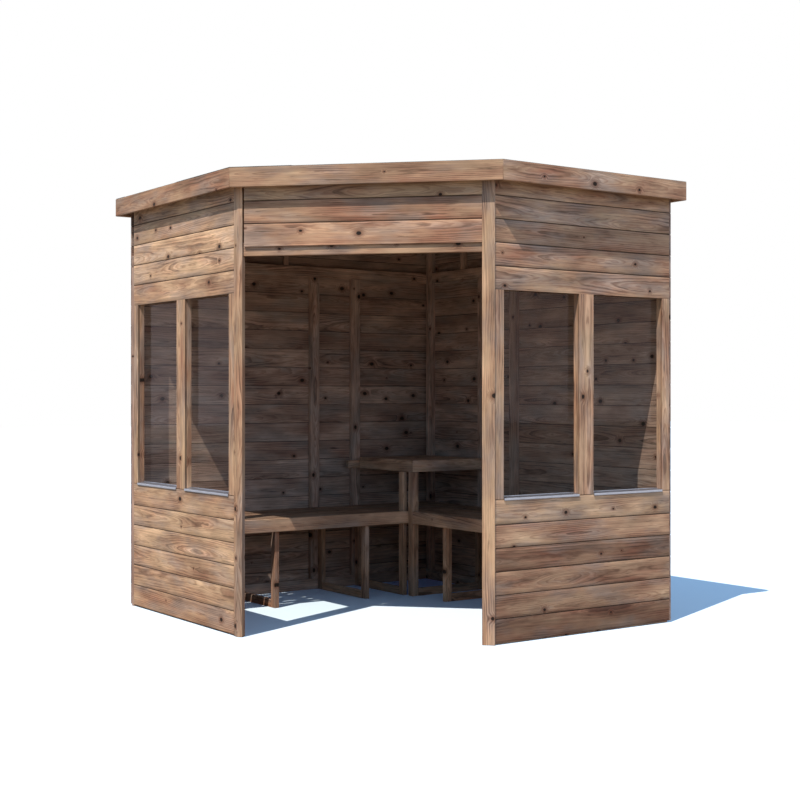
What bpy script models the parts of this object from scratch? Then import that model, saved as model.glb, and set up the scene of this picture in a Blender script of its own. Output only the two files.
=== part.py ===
# Corner garden arbour in tongue-and-groove boarding.
# Two window walls and two solid back walls stand square to each other, with an open doorway
# across the cut-off front corner. A flat five-sided roof with mitred fascia boards covers them.
# Slatted benches run along the back walls, with a small table where they meet.
#
# The plan is drawn in metres from the point where the outer faces of the two window walls would
# meet: x runs along the right window wall and y along the left one. The whole plan hangs on one
# empty, which sets the middle of the roof over the world origin, with the ground at z = 0.

import math
from collections import namedtuple

import bmesh
import bpy
from mathutils import Matrix, Vector

# Clearances
GAP = 0.0003                    # between pieces that touch
ARRIS = 0.0015                  # edges eased on planed timber

# Tongue-and-groove boarding
BOARD_THICK = 0.012
BOARD_COVER = 0.112             # height that one board covers
BOARD_LIFT = 0.010              # lowest edge above the ground
JOINT_WIDTH = 0.006             # V at each joint, on the weather face
JOINT_DEPTH = 0.0035
INNER_JOINT_WIDTH = 0.004       # V at each joint, on the room face
INNER_JOINT_DEPTH = 0.002
TONGUE_THICK = 0.004
TONGUE_HEIGHT = 0.008
GROOVE_PLAY = 0.0004            # groove wider and deeper than the tongue

# Wall framing
FRAME_DEPTH = 0.028             # framing timber, through the wall
FRAME_WIDTH = 0.063             # framing timber, in the plane of the wall

# Plan
CORNER_CUT = 0.888              # cut off each window wall's line by the doorway
PANEL_WIDTH = 1.170             # one window wall
LEFT_POST_SIDE = 0.040          # left post, seen on the left window wall's side
LEFT_POST_FACE = 0.023          # left post, seen from the front
LEFT_POST_DEPTH = 0.048
RIGHT_POST_SIDE = 0.012         # right post, let in before the right window wall
RIGHT_POST_FACE = 0.054         # right post, seen from the front
RIGHT_POST_LAP = 0.008          # right post, standing proud of the right window wall
RIGHT_POST_DEPTH = 0.040

# Heights, counted in boards
SILL_BOARDS = 6                 # below the windows
HEAD_BOARDS = 15                # up to the window heads
DOOR_BOARDS = 17                # up to the doorway's head
WALL_BOARDS = 20                # up to the roof, before the top board is ripped
TOP_BOARD_RIP = 0.023           # ripped off the top board

# Windows
STILE_WIDTH = 0.053
MULLION_WIDTH = 0.098
SILL_CLEARANCE = 0.002          # cover boards above the tongue of the board below
SILL_RAIL_HEIGHT = 0.038
GLASS_THICK = 0.003
GLASS_LAP = 0.020               # glass behind the frame, all round
BAR_END_PLAY = 0.001            # drip bar's end to the cover board
BAR_NOSE = 0.010                # drip bar's nose, proud of the wall
BAR_NOSE_HEIGHT = 0.012
BAR_DROP = 0.001                # nose below the sill
BAR_HEEL_HEIGHT = 0.024         # top of the slope above the sill
BAR_UPSTAND = 0.004             # small wall along the heel, height and thickness
BAR_BACK_PLAY = 0.002           # heel to the glass

# Doorway head
HEADER_SHADOW = 0.009           # left post to the end of the header boarding
HEADER_RAIL_DROP = 0.044        # header rail below the boarding

# Back walls
BACK_PLATE_TOP = 1.970          # top of the plate that the back studs carry
STUD_PITCH = 0.300              # second stud to third stud
LEFT_STUD_LEAD = 0.038          # third stud before the table's front, back left wall
RIGHT_STUD_LEAD = 0.003         # the same, back right wall
LEFT_SHORT_STUD_LEAD = 0.185    # short stud before the second stud, back left wall
LEFT_SHORT_STUD_WIDTH = 0.028

# Roof
RAFTER_HEIGHT = 0.052
RAFTER_WIDTH = 0.044
FRONT_RAFTER_INSET = 0.052      # behind the left window wall's front edge
REAR_RAFTER_INSET = 0.395       # before the back left wall's outer face
DECK_THICK = 0.016
DECK_COVER = 0.112              # width that one deck board covers
FASCIA_THICK = 0.018
FASCIA_HEIGHT = 0.096
FRONT_OVERHANG = 0.058          # fascia's outer face beyond the header boarding
LEFT_OVERHANG = 0.060           # the same, beyond each wall
RIGHT_OVERHANG = 0.078
BACK_RIGHT_OVERHANG = 0.035
BACK_LEFT_OVERHANG = 0.076
FELT_THICK = 0.003
FELT_INSET = 0.0015             # felt's edge behind the fascia's face

# Benches
SEAT_HEIGHT = 0.500
LEFT_BENCH_DEPTH = 0.548        # from the studs to the apron's front
RIGHT_BENCH_DEPTH = 0.536
SLAT_THICK = 0.020
SLAT_COUNT = 7
SLAT_SPACE = 0.012
SLAT_ARRIS = 0.002
SEAT_JOINT = 0.002              # between the two seats
APRON_THICK = 0.028
APRON_HEIGHT = 0.072
BEARER_WIDTH = 0.028            # bench framing timber, across
BEARER_HEIGHT = 0.044           # bench framing timber, in the plane of the frame
BATTEN_WIDTH = 0.028
BATTEN_HEIGHT = 0.020
BATTEN_BITE = 0.001             # batten let into the slats
SUPPORT_SPACING = 0.607         # first bench frame to second
LEFT_SUPPORT_LEAD = 0.051       # second frame beyond its stud's edge, left bench
RIGHT_SUPPORT_LEAD = 0.019      # the same, right bench
NOTCH_PLAY = 0.001              # slats cut clear of an upright

# Corner table
TABLE_HEIGHT = 0.800
TABLE_RIM_HEIGHT = 0.068
TABLE_RIM_THICK = 0.020
TABLE_BOARD_THICK = 0.020
TABLE_BOARD_COUNT = 5
TABLE_BOARD_SPACE = 0.003
LEDGER_WIDTH = 0.028
LEDGER_HEIGHT = 0.044
WALL_LEDGER_LAP = 0.083         # wall ledger beyond the table's rim
TABLE_LEG = 0.044
TABLE_REST = 0.011              # rim's width that stands on the third bench frame

# Worked out from the values above
WALL = BOARD_THICK + FRAME_DEPTH
FRAME_FACE = BOARD_THICK + GAP  # depth where the framing starts behind the boarding
SPAN_X = CORNER_CUT + RIGHT_POST_SIDE + PANEL_WIDTH + BOARD_THICK
SPAN_Y = CORNER_CUT + LEFT_POST_SIDE + PANEL_WIDTH + WALL
FRONT_WIDTH = CORNER_CUT * math.sqrt(2)
ROOM_X = SPAN_X - WALL          # room face of the back right wall's studs
ROOM_Y = SPAN_Y - WALL          # room face of the back left wall's studs
WALL_TOP = BOARD_LIFT + BOARD_COVER * WALL_BOARDS - TOP_BOARD_RIP
DECK_BOTTOM = WALL_TOP + RAFTER_HEIGHT
ROOF_TOP = DECK_BOTTOM + DECK_THICK
SILL_TOP = BOARD_LIFT + BOARD_COVER * SILL_BOARDS + TONGUE_HEIGHT + SILL_CLEARANCE
HEAD = BOARD_LIFT + BOARD_COVER * HEAD_BOARDS
DOOR_HEAD = BOARD_LIFT + BOARD_COVER * DOOR_BOARDS
LIGHT_WIDTH = (PANEL_WIDTH - 2 * STILE_WIDTH - MULLION_WIDTH) / 2
LEFT_FRONT = ROOM_Y - LEFT_BENCH_DEPTH      # y of the left bench's front
RIGHT_FRONT = ROOM_X - RIGHT_BENCH_DEPTH    # x of the right bench's front
SLAT_BOTTOM = SEAT_HEIGHT - SLAT_THICK
SEAT_SETBACK = APRON_THICK + SLAT_SPACE     # first slat behind the apron's face
TABLE_UNDER = TABLE_HEIGHT - TABLE_RIM_HEIGHT
LEG_Y = LEFT_FRONT - GAP - TABLE_LEG        # y of the table leg's near side

UP = Vector((0, 0, 1))

# Base colour, roughness, metallic value and alpha of each finish
FINISHES = {
    "cladding": ((0.235, 0.135, 0.085), 0.72, 0.0, 1.0),
    "framing": ((0.260, 0.155, 0.095), 0.74, 0.0, 1.0),
    "bench": ((0.225, 0.125, 0.075), 0.70, 0.0, 1.0),
    "roof_timber": ((0.285, 0.165, 0.100), 0.70, 0.0, 1.0),
    "glass": ((0.80, 0.85, 0.87), 0.05, 0.0, 0.25),
    "aluminium": ((0.42, 0.45, 0.52), 0.35, 1.0, 1.0),
    "felt": ((0.045, 0.047, 0.050), 0.95, 0.0, 1.0),
}

# A wall's own directions: a point on its outer face, along that face, and in through its thickness
Wall = namedtuple("Wall", "origin along inward")

DIAGONAL = math.sqrt(0.5)
LEFT = Wall(Vector((0, CORNER_CUT + LEFT_POST_SIDE)), Vector((0, 1)), Vector((1, 0)))
RIGHT = Wall(Vector((CORNER_CUT + RIGHT_POST_SIDE, 0)), Vector((1, 0)), Vector((0, 1)))
BACK_LEFT = Wall(Vector((0, SPAN_Y)), Vector((1, 0)), Vector((0, -1)))
BACK_RIGHT = Wall(Vector((SPAN_X, 0)), Vector((0, 1)), Vector((-1, 0)))
FRONT = Wall(Vector((0, CORNER_CUT)), Vector((DIAGONAL, -DIAGONAL)), Vector((DIAGONAL, DIAGONAL)))
# The benches count depth from the plan's origin towards the back walls
LEFT_BENCH = Wall(Vector((0, 0)), Vector((1, 0)), Vector((0, 1)))
RIGHT_BENCH = Wall(Vector((0, 0)), Vector((0, 1)), Vector((1, 0)))

for old in list(bpy.data.objects):
    bpy.data.objects.remove(old, do_unlink=True)

PARTS = bpy.data.collections.new("corner_garden_arbour")
CUTTERS = bpy.data.collections.new("corner_garden_arbour_cutters")
bpy.context.scene.collection.children.link(PARTS)
bpy.context.scene.collection.children.link(CUTTERS)


# Tools

def at(wall, along, depth):
    """The plan point at a distance along a wall's outer face and a depth through it."""
    return wall.origin + wall.along * along + wall.inward * depth


def finish(piece, kind):
    """Give a piece its own material, in one of the finishes."""
    colour, roughness, metallic, alpha = FINISHES[kind]
    material = bpy.data.materials.new(piece.name + "_" + kind)
    material.use_nodes = True
    shader = material.node_tree.nodes["Principled BSDF"]
    shader.inputs["Base Color"].default_value = (*colour, 1.0)
    shader.inputs["Roughness"].default_value = roughness
    shader.inputs["Metallic"].default_value = metallic
    shader.inputs["Alpha"].default_value = alpha
    material.diffuse_color = (*colour, alpha)
    piece.data.materials.clear()
    piece.data.materials.append(material)


def move_to(piece, collection):
    """Keep a piece in one collection only."""
    for other in list(piece.users_collection):
        other.objects.unlink(piece)
    collection.objects.link(piece)


def ease_edges(piece, width):
    """Plane the sharp edges off a piece of timber."""
    bevel = piece.modifiers.new("eased edges", "BEVEL")
    bevel.width = width
    bevel.segments = 1
    bevel.limit_method = "ANGLE"


def block(name, wall, along, depth, height, kind=None, ease=ARRIS):
    """A squared timber between two distances along a wall, two depths and two heights."""
    middle = at(wall, sum(along) / 2, sum(depth) / 2)
    bpy.ops.mesh.primitive_cube_add(size=1, location=(*middle, sum(height) / 2))
    piece = bpy.context.object
    piece.name = name
    piece.scale = (along[1] - along[0], depth[1] - depth[0], height[1] - height[0])
    bpy.ops.object.transform_apply(location=False, rotation=False, scale=True)
    piece.rotation_euler.z = math.atan2(wall.along.y, wall.along.x)
    move_to(piece, PARTS)
    if ease:
        ease_edges(piece, ease)
    if kind:
        finish(piece, kind)
    return piece


def solid_of_outline(name, outlines, thickness, place, kind=None):
    """A flat outline with any holes, given a thickness about its plane, as a closed mesh."""
    curve = bpy.data.curves.new(name, "CURVE")
    curve.dimensions = "2D"
    curve.fill_mode = "BOTH"
    curve.extrude = thickness / 2
    for points in outlines:
        spline = curve.splines.new("POLY")
        spline.points.add(len(points) - 1)
        for corner, (x, y) in zip(spline.points, points):
            corner.co = (x, y, 0, 1)
        spline.use_cyclic_u = True
    drawing = bpy.data.objects.new(name + "_outline", curve)
    PARTS.objects.link(drawing)
    drawing.matrix_world = place
    view = bpy.context.evaluated_depsgraph_get()
    mesh = bpy.data.meshes.new_from_object(drawing.evaluated_get(view))
    shape = bmesh.new()
    shape.from_mesh(mesh)
    bmesh.ops.remove_doubles(shape, verts=shape.verts, dist=0.00001)
    bmesh.ops.recalc_face_normals(shape, faces=shape.faces)
    shape.to_mesh(mesh)
    shape.free()
    mesh.name = name
    piece = bpy.data.objects.new(name, mesh)
    PARTS.objects.link(piece)
    piece.matrix_world = place
    bpy.data.objects.remove(drawing, do_unlink=True)
    bpy.data.curves.remove(curve)
    if kind:
        finish(piece, kind)
    return piece


def slab(name, corners, low, high, kind=None):
    """A plan outline standing from one height to another."""
    place = Matrix.Translation((0, 0, (low + high) / 2))
    return solid_of_outline(name, [corners], high - low, place, kind)


def moulding(name, wall, outlines, along, kind=None):
    """Outlines drawn as (depth, height), carried along a wall between two distances."""
    middle = at(wall, sum(along) / 2, 0)
    inward = Vector((*wall.inward, 0))
    turn = Matrix((inward, UP, inward.cross(UP))).transposed().to_4x4()
    place = Matrix.Translation((*middle, 0)) @ turn
    return solid_of_outline(name, outlines, along[1] - along[0], place, kind)


def combine(piece, others, operation):
    """Join other solids to a piece, or cut them from it, and put them away as cutters."""
    for other in others:
        boolean = piece.modifiers.new(operation.lower() + " " + other.name, "BOOLEAN")
        boolean.operation = operation
        boolean.solver = "EXACT"
        boolean.object = other
        other.hide_render = True
        other.display_type = "WIRE"
        move_to(other, CUTTERS)


def rectangle(low_x, high_x, low_y, high_y):
    return [(low_x, low_y), (high_x, low_y), (high_x, high_y), (low_x, high_y)]


# Boarding

def board_lines(bottom, top):
    """Heights of the board joints that lie between two heights."""
    lines = [BOARD_LIFT + BOARD_COVER * count for count in range(WALL_BOARDS + 1)]
    return [line for line in lines if bottom + JOINT_WIDTH < line < top - JOINT_WIDTH]


def boarding_outline(bottom, top, tongue):
    """Section through tongue-and-groove boards, as (depth, height).

    A V marks each joint on both faces. The lowest board has its groove underneath, and the
    highest keeps its tongue unless it is ripped.
    """
    half, inner_half = JOINT_WIDTH / 2, INNER_JOINT_WIDTH / 2
    middle = BOARD_THICK / 2
    tongue_half = TONGUE_THICK / 2
    groove_half = tongue_half + GROOVE_PLAY
    groove_top = bottom + TONGUE_HEIGHT + GROOVE_PLAY
    lines = board_lines(bottom, top)
    outline = [(0, bottom)]
    for line in lines:
        outline += [(0, line - half), (JOINT_DEPTH, line), (0, line + half)]
    outline.append((0, top))
    if tongue:
        outline += [(middle - tongue_half, top), (middle - tongue_half, top + TONGUE_HEIGHT)]
        outline += [(middle + tongue_half, top + TONGUE_HEIGHT), (middle + tongue_half, top)]
    outline.append((BOARD_THICK, top))
    for line in reversed(lines):
        outline += [(BOARD_THICK, line + inner_half), (BOARD_THICK - INNER_JOINT_DEPTH, line)]
        outline.append((BOARD_THICK, line - inner_half))
    outline += [(BOARD_THICK, bottom), (middle + groove_half, bottom)]
    outline += [(middle + groove_half, groove_top), (middle - groove_half, groove_top)]
    outline.append((middle - groove_half, bottom))
    return outline


def cladding(name, wall, along, bottom, top, tongue=False):
    return moulding(name, wall, [boarding_outline(bottom, top, tongue)], along, "cladding")


# Window walls

def window_post_outline():
    """Section through a stile or mullion: a cover board between the boardings, on its stud.

    The room side of the stud is halved where the sill rail crosses it.
    """
    low, high = FRAME_WIDTH + GAP, WALL_TOP - FRAME_WIDTH - GAP
    rail_low, rail_high = SILL_TOP - SILL_RAIL_HEIGHT - GAP, SILL_TOP + GAP
    half = BOARD_THICK + FRAME_DEPTH / 2
    return [(FRAME_FACE, low), (WALL, low),
            (WALL, rail_low), (half, rail_low), (half, rail_high), (WALL, rail_high),
            (WALL, high), (FRAME_FACE, high),
            (FRAME_FACE, HEAD - GAP), (0, HEAD - GAP), (0, SILL_TOP), (FRAME_FACE, SILL_TOP)]


def sill_rail_corners(wall, posts, length):
    """Plan of the sill rail, halved on its weather side to pass behind each post."""
    half = BOARD_THICK + FRAME_DEPTH / 2 + GAP
    corners = [(0, WALL), (length, WALL)]
    for start, end in reversed(posts):
        if end < length:
            corners += [(end + GAP, FRAME_FACE), (end + GAP, half)]
        else:
            corners.append((length, half))
        if start > 0:
            corners += [(start - GAP, half), (start - GAP, FRAME_FACE)]
        else:
            corners.append((0, half))
    return [at(wall, along, depth) for along, depth in corners]


def drip_bar_outline():
    """Section through the drip bar: a nose over the boarding, a slope and a heel by the glass."""
    heel = WALL - BAR_BACK_PLAY
    nose_top = SILL_TOP - BAR_DROP + BAR_NOSE_HEIGHT
    slope_top = SILL_TOP + BAR_HEEL_HEIGHT
    return [(-BAR_NOSE, SILL_TOP - BAR_DROP), (-GAP, SILL_TOP - BAR_DROP), (-GAP, SILL_TOP + GAP),
            (heel, SILL_TOP + GAP), (heel, slope_top + BAR_UPSTAND),
            (heel - BAR_UPSTAND, slope_top + BAR_UPSTAND), (heel - BAR_UPSTAND, slope_top),
            (0, nose_top + BAR_DROP), (-BAR_NOSE + BAR_DROP, nose_top),
            (-BAR_NOSE, nose_top - BAR_DROP)]


def window_wall(side, wall):
    """A wall of boarding below and above two fixed lights."""
    length = PANEL_WIDTH - GAP
    middle = STILE_WIDTH + LIGHT_WIDTH
    posts = [(0, STILE_WIDTH), (middle, middle + MULLION_WIDTH),
             (PANEL_WIDTH - STILE_WIDTH, length)]
    sill_line = BOARD_LIFT + BOARD_COVER * SILL_BOARDS
    cladding(side + "_lower_cladding", wall, (0, length), BOARD_LIFT, sill_line, tongue=True)
    cladding(side + "_upper_cladding", wall, (0, length), HEAD, WALL_TOP)
    for name, post in zip(("front_stile", "mullion", "rear_stile"), posts):
        moulding(side + "_" + name, wall, [window_post_outline()], post, "framing")
    framing = (FRAME_FACE, WALL)
    block(side + "_bottom_plate", wall, (0, length), framing, (0, FRAME_WIDTH), "framing")
    block(side + "_top_plate", wall, (0, length), framing, (WALL_TOP - FRAME_WIDTH, WALL_TOP), "framing")
    slab(side + "_sill_rail", sill_rail_corners(wall, posts, length),
         SILL_TOP - SILL_RAIL_HEIGHT, SILL_TOP, "framing")
    edge = STILE_WIDTH - GLASS_LAP
    block(side + "_glazing", wall, (edge, PANEL_WIDTH - edge), (WALL + GAP, WALL + GAP + GLASS_THICK),
          (SILL_TOP - GLASS_LAP, HEAD + GLASS_LAP), "glass", ease=0)
    for name, before, after in (("front_drip_bar", posts[0], posts[1]),
                                ("rear_drip_bar", posts[1], posts[2])):
        span = (before[1] + BAR_END_PLAY, after[0] - BAR_END_PLAY)
        moulding(side + "_" + name, wall, [drip_bar_outline()], span, "aluminium")


# Back walls

def back_wall(side, wall, start, end, top_end, board_end, studs, short_stud, short_top):
    """A wall boarded from the ground to the roof, on studs between two plates."""
    framing = (FRAME_FACE, WALL)
    cladding(side + "_cladding", wall, (0, board_end), BOARD_LIFT, WALL_TOP)
    plate_low = BACK_PLATE_TOP - FRAME_WIDTH
    block(side + "_bottom_plate", wall, (start, end), framing, (0, FRAME_WIDTH), "framing")
    block(side + "_top_plate", wall, (start, top_end), framing, (plate_low, BACK_PLATE_TOP), "framing")
    for count, stud in enumerate(studs, 1):
        block(f"{side}_stud_{count}", wall, (stud, stud + FRAME_WIDTH), framing,
              (FRAME_WIDTH + GAP, plate_low - GAP), "framing")
    block(side + "_short_stud", wall, short_stud, framing, (BACK_PLATE_TOP + GAP, short_top - GAP), "framing")


def back_walls():
    left_third = RIGHT_FRONT - LEFT_STUD_LEAD
    left_second = left_third - STUD_PITCH
    short = left_second - LEFT_SHORT_STUD_LEAD
    left_end = SPAN_X - BOARD_THICK - GAP
    back_wall("back_left", BACK_LEFT, 0, left_end, left_end, SPAN_X,
              (0, left_second, left_third), (short, short + LEFT_SHORT_STUD_WIDTH), DECK_BOTTOM)
    right_third = LEG_Y - RIGHT_STUD_LEAD
    end = ROOM_Y - GAP
    corner_stud = end - FRAME_WIDTH             # this stud alone runs on up to the deck
    rear_rafter = rear_rafter_line()
    back_wall("back_right", BACK_RIGHT, WALL + GAP, end, corner_stud - GAP, SPAN_Y - BOARD_THICK - GAP,
              (right_third - STUD_PITCH, right_third),
              (rear_rafter, rear_rafter + RAFTER_WIDTH), WALL_TOP)
    block("back_right_stud_3", BACK_RIGHT, (corner_stud, end), (FRAME_FACE, WALL),
          (FRAME_WIDTH + GAP, DECK_BOTTOM - GAP), "framing")


# Doorway

def doorway():
    """Two posts shaped to the corner's angles, and the boarded head between them."""
    post_top = DECK_BOTTOM - GAP
    panel_edge = CORNER_CUT + LEFT_POST_SIDE - GAP
    slab("front_left_post", [at(FRONT, LEFT_POST_FACE, 0), at(FRONT, 0, 0), (0, panel_edge),
                             (WALL, panel_edge), at(FRONT, LEFT_POST_FACE, LEFT_POST_DEPTH)],
         0, post_top, "framing")

    # The right post is a squared timber, cut off where the right window wall ends against it
    reveal = FRONT_WIDTH - RIGHT_POST_FACE
    panel_end = CORNER_CUT + RIGHT_POST_SIDE - GAP
    nose = at(FRONT, FRONT_WIDTH + RIGHT_POST_LAP, 0)
    nose_depth = (panel_end - nose.x) / FRONT.inward.x
    back = (panel_end - FRONT.origin.x - RIGHT_POST_DEPTH * FRONT.inward.x) / FRONT.along.x
    slab("front_right_post", [at(FRONT, reveal, 0), nose,
                              at(FRONT, FRONT_WIDTH + RIGHT_POST_LAP, nose_depth),
                              at(FRONT, back, RIGHT_POST_DEPTH), at(FRONT, reveal, RIGHT_POST_DEPTH)],
         0, post_top, "framing")

    boarded = (LEFT_POST_FACE + HEADER_SHADOW, reveal - GAP)
    cladding("header_cladding", FRONT, boarded, DOOR_HEAD, WALL_TOP)
    rail_low = DOOR_HEAD - HEADER_RAIL_DROP
    block("header_rail", FRONT, (LEFT_POST_FACE + GAP, reveal - GAP), (FRAME_FACE, WALL),
          (rail_low, rail_low + FRAME_WIDTH), "framing")


# Roof

def rear_rafter_line():
    """Near side of the rear rafter, as a y of the plan."""
    return SPAN_Y - REAR_RAFTER_INSET - RAFTER_WIDTH


def roof_sides():
    """The roof's five sides in order round the plan: name, outward normal, distance out."""
    front_out = Vector((-DIAGONAL, -DIAGONAL))
    front_reach = FRONT.origin.dot(front_out) + FRONT_OVERHANG
    return [("left", Vector((-1, 0)), LEFT_OVERHANG),
            ("front", front_out, front_reach),
            ("right", Vector((0, -1)), RIGHT_OVERHANG),
            ("back_right", Vector((1, 0)), SPAN_X + BACK_RIGHT_OVERHANG),
            ("back_left", Vector((0, 1)), SPAN_Y + BACK_LEFT_OVERHANG)]


def meeting_point(first, second, inset):
    """Where two sides of the roof meet, both moved in by the same distance."""
    (_, normal_a, reach_a), (_, normal_b, reach_b) = first, second
    lines = Matrix((normal_a, normal_b))
    return lines.inverted() @ Vector((reach_a - inset, reach_b - inset))


def roof_corners(inset):
    """The roof's outline, moved in on every side."""
    sides = roof_sides()
    return [meeting_point(sides[count - 1], sides[count], inset) for count in range(len(sides))]


def fascias():
    """Five boards on edge round the deck, mitred at the corners."""
    sides = roof_sides()
    outer, inner = roof_corners(0), roof_corners(FASCIA_THICK)
    for count, (name, normal, _) in enumerate(sides):
        after = (count + 1) % len(sides)
        run = (outer[after] - outer[count]).normalized()
        turn_before = normal.angle(sides[count - 1][1])
        turn_after = normal.angle(sides[after][1])
        start = run * (GAP / 2 / math.cos(turn_before / 2))
        end = run * (GAP / 2 / math.cos(turn_after / 2))
        corners = [outer[count] + start, outer[after] - end, inner[after] - end, inner[count] + start]
        slab(name + "_fascia", corners, ROOF_TOP - FASCIA_HEIGHT, ROOF_TOP, "roof_timber")


def deck_outline(low_x, high_x):
    """Section through the deck boards, as (depth, height), with a V at each joint underneath."""
    half = JOINT_WIDTH / 2
    outline = [(low_x, DECK_BOTTOM)]
    for count in range(1, math.ceil((high_x - low_x) / DECK_COVER)):
        line = low_x + DECK_COVER * count
        outline += [(line - half, DECK_BOTTOM), (line, DECK_BOTTOM + JOINT_DEPTH)]
        outline.append((line + half, DECK_BOTTOM))
    return outline + [(high_x, DECK_BOTTOM), (high_x, ROOF_TOP), (low_x, ROOF_TOP)]


def roof():
    edge = roof_corners(FASCIA_THICK + GAP)
    low_x, high_x = min(corner.x for corner in edge), max(corner.x for corner in edge)
    low_y, high_y = min(corner.y for corner in edge), max(corner.y for corner in edge)
    spare = DECK_COVER
    deck = moulding("roof_deck", RIGHT_BENCH, [deck_outline(low_x - spare, high_x + spare)],
                    (low_y - spare, high_y + spare), "roof_timber")
    trim = slab("deck_trim", edge, DECK_BOTTOM - spare, ROOF_TOP + spare)
    combine(deck, [trim], "INTERSECT")
    slab("roofing_felt", roof_corners(FELT_INSET), ROOF_TOP + GAP, ROOF_TOP + GAP + FELT_THICK, "felt")
    height = (WALL_TOP + GAP, DECK_BOTTOM - GAP)
    front = CORNER_CUT + LEFT_POST_SIDE + FRONT_RAFTER_INSET
    for name, near in (("front_rafter", front), ("rear_rafter", rear_rafter_line())):
        block(name, LEFT_BENCH, (low_x, high_x), (near, near + RAFTER_WIDTH), height, "roof_timber")
    fascias()


# Benches

def slat_outline(front, width):
    """Section through a seat slat, as (depth, height), with its top edges eased."""
    back, ease = front + width, SLAT_ARRIS
    return [(front, SLAT_BOTTOM), (back, SLAT_BOTTOM), (back, SEAT_HEIGHT - ease),
            (back - ease, SEAT_HEIGHT), (front + ease, SEAT_HEIGHT), (front, SEAT_HEIGHT - ease)]


def seat(name, bench, along, front, back, battens, notch):
    """Slats side by side on battens, cut out round the upright that passes through them."""
    width = (back - front - SLAT_SPACE * (SLAT_COUNT - 1)) / SLAT_COUNT
    slats = []
    for count in range(SLAT_COUNT):
        slat_front = front + count * (width + SLAT_SPACE)
        slats.append(moulding(f"{name}_slat_{count + 1}", bench, [slat_outline(slat_front, width)], along))
    height = (SLAT_BOTTOM - BATTEN_HEIGHT, SLAT_BOTTOM + BATTEN_BITE)
    pieces = [block(f"{name}_batten_{count}", bench, (batten, batten + BATTEN_WIDTH),
                    (front, back), height, ease=0) for count, batten in enumerate(battens, 1)]
    # The piece that carries the name is the first slat, so the others join it in turn
    body = slats[0]
    body.name = name
    finish(body, "bench")
    combine(body, pieces + slats[1:], "UNION")
    combine(body, [notch], "DIFFERENCE")


def bench_frame(name, bench, along, front, back, upright_top):
    """A closed frame under the seat: two uprights, a top rail and a rail on the floor.

    The front upright may run on above the top rail.
    """
    top = SLAT_BOTTOM - GAP
    shoulder = front + BEARER_HEIGHT
    outer = [(front, 0), (back, 0), (back, top)]
    if upright_top > top:
        outer += [(shoulder, top), (shoulder, upright_top), (front, upright_top)]
    else:
        outer.append((front, top))
    hole = rectangle(shoulder, back - BEARER_HEIGHT, BEARER_HEIGHT, top - BEARER_HEIGHT)
    return moulding(name, bench, [outer, hole], (along, along + BEARER_WIDTH), "bench")


def benches():
    apron = (SEAT_HEIGHT - APRON_HEIGHT, SEAT_HEIGHT)
    under_rim = TABLE_UNDER - GAP
    top = SLAT_BOTTOM - GAP
    seat_start = WALL + GAP
    batten_step = BEARER_WIDTH + GAP

    # Left bench, along the back left wall and into the corner
    back = ROOM_Y - GAP
    frame_front = LEFT_FRONT + APRON_THICK + GAP
    second = RIGHT_FRONT - LEFT_STUD_LEAD - STUD_PITCH + LEFT_SUPPORT_LEAD
    third = RIGHT_FRONT + TABLE_REST - BEARER_WIDTH
    frames = [(second - SUPPORT_SPACING, top), (second, top), (third, under_rim)]
    for count, (along, upright_top) in enumerate(frames, 1):
        bench_frame(f"left_seat_frame_{count}", LEFT_BENCH, along, frame_front, back, upright_top)
    block("left_apron", LEFT_BENCH, (seat_start, RIGHT_FRONT + TABLE_LEG),
          (LEFT_FRONT, LEFT_FRONT + APRON_THICK), apron, "bench")
    notch = block("left_seat_notch", LEFT_BENCH,
                  (third - NOTCH_PLAY, third + BEARER_WIDTH + NOTCH_PLAY),
                  (frame_front - NOTCH_PLAY, frame_front + BEARER_HEIGHT + NOTCH_PLAY),
                  (SLAT_BOTTOM - SLAT_THICK, SEAT_HEIGHT + SLAT_THICK), ease=0)
    battens = [seat_start] + [along + batten_step for along, _ in frames[:2]]
    battens.append(ROOM_X - GAP - BATTEN_WIDTH)
    seat("left_seat", LEFT_BENCH, (seat_start, ROOM_X - GAP), LEFT_FRONT + SEAT_SETBACK, back,
         battens, notch)

    # Right bench, along the back right wall up to the left bench's front
    back = ROOM_X - GAP
    frame_front = RIGHT_FRONT + APRON_THICK + GAP
    second = LEG_Y - RIGHT_STUD_LEAD - STUD_PITCH + RIGHT_SUPPORT_LEAD
    frames = [second - SUPPORT_SPACING, second]
    for count, along in enumerate(frames, 1):
        bench_frame(f"right_seat_frame_{count}", RIGHT_BENCH, along, frame_front, back, top)
    block("right_apron", RIGHT_BENCH, (seat_start, LEG_Y - GAP),
          (RIGHT_FRONT, RIGHT_FRONT + APRON_THICK), apron, "bench")
    notch = block("right_seat_notch", RIGHT_BENCH,
                  (LEG_Y - NOTCH_PLAY, LEFT_FRONT + SEAT_SETBACK + SLAT_THICK),
                  (RIGHT_FRONT - SLAT_THICK, RIGHT_FRONT + TABLE_LEG + NOTCH_PLAY),
                  (SLAT_BOTTOM - SLAT_THICK, SEAT_HEIGHT + SLAT_THICK), ease=0)
    battens = [seat_start] + [along + batten_step for along in frames]
    seat("right_seat", RIGHT_BENCH, (seat_start, LEFT_FRONT + SEAT_SETBACK - SEAT_JOINT),
         RIGHT_FRONT + SEAT_SETBACK, back, battens, notch)


# Corner table

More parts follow.
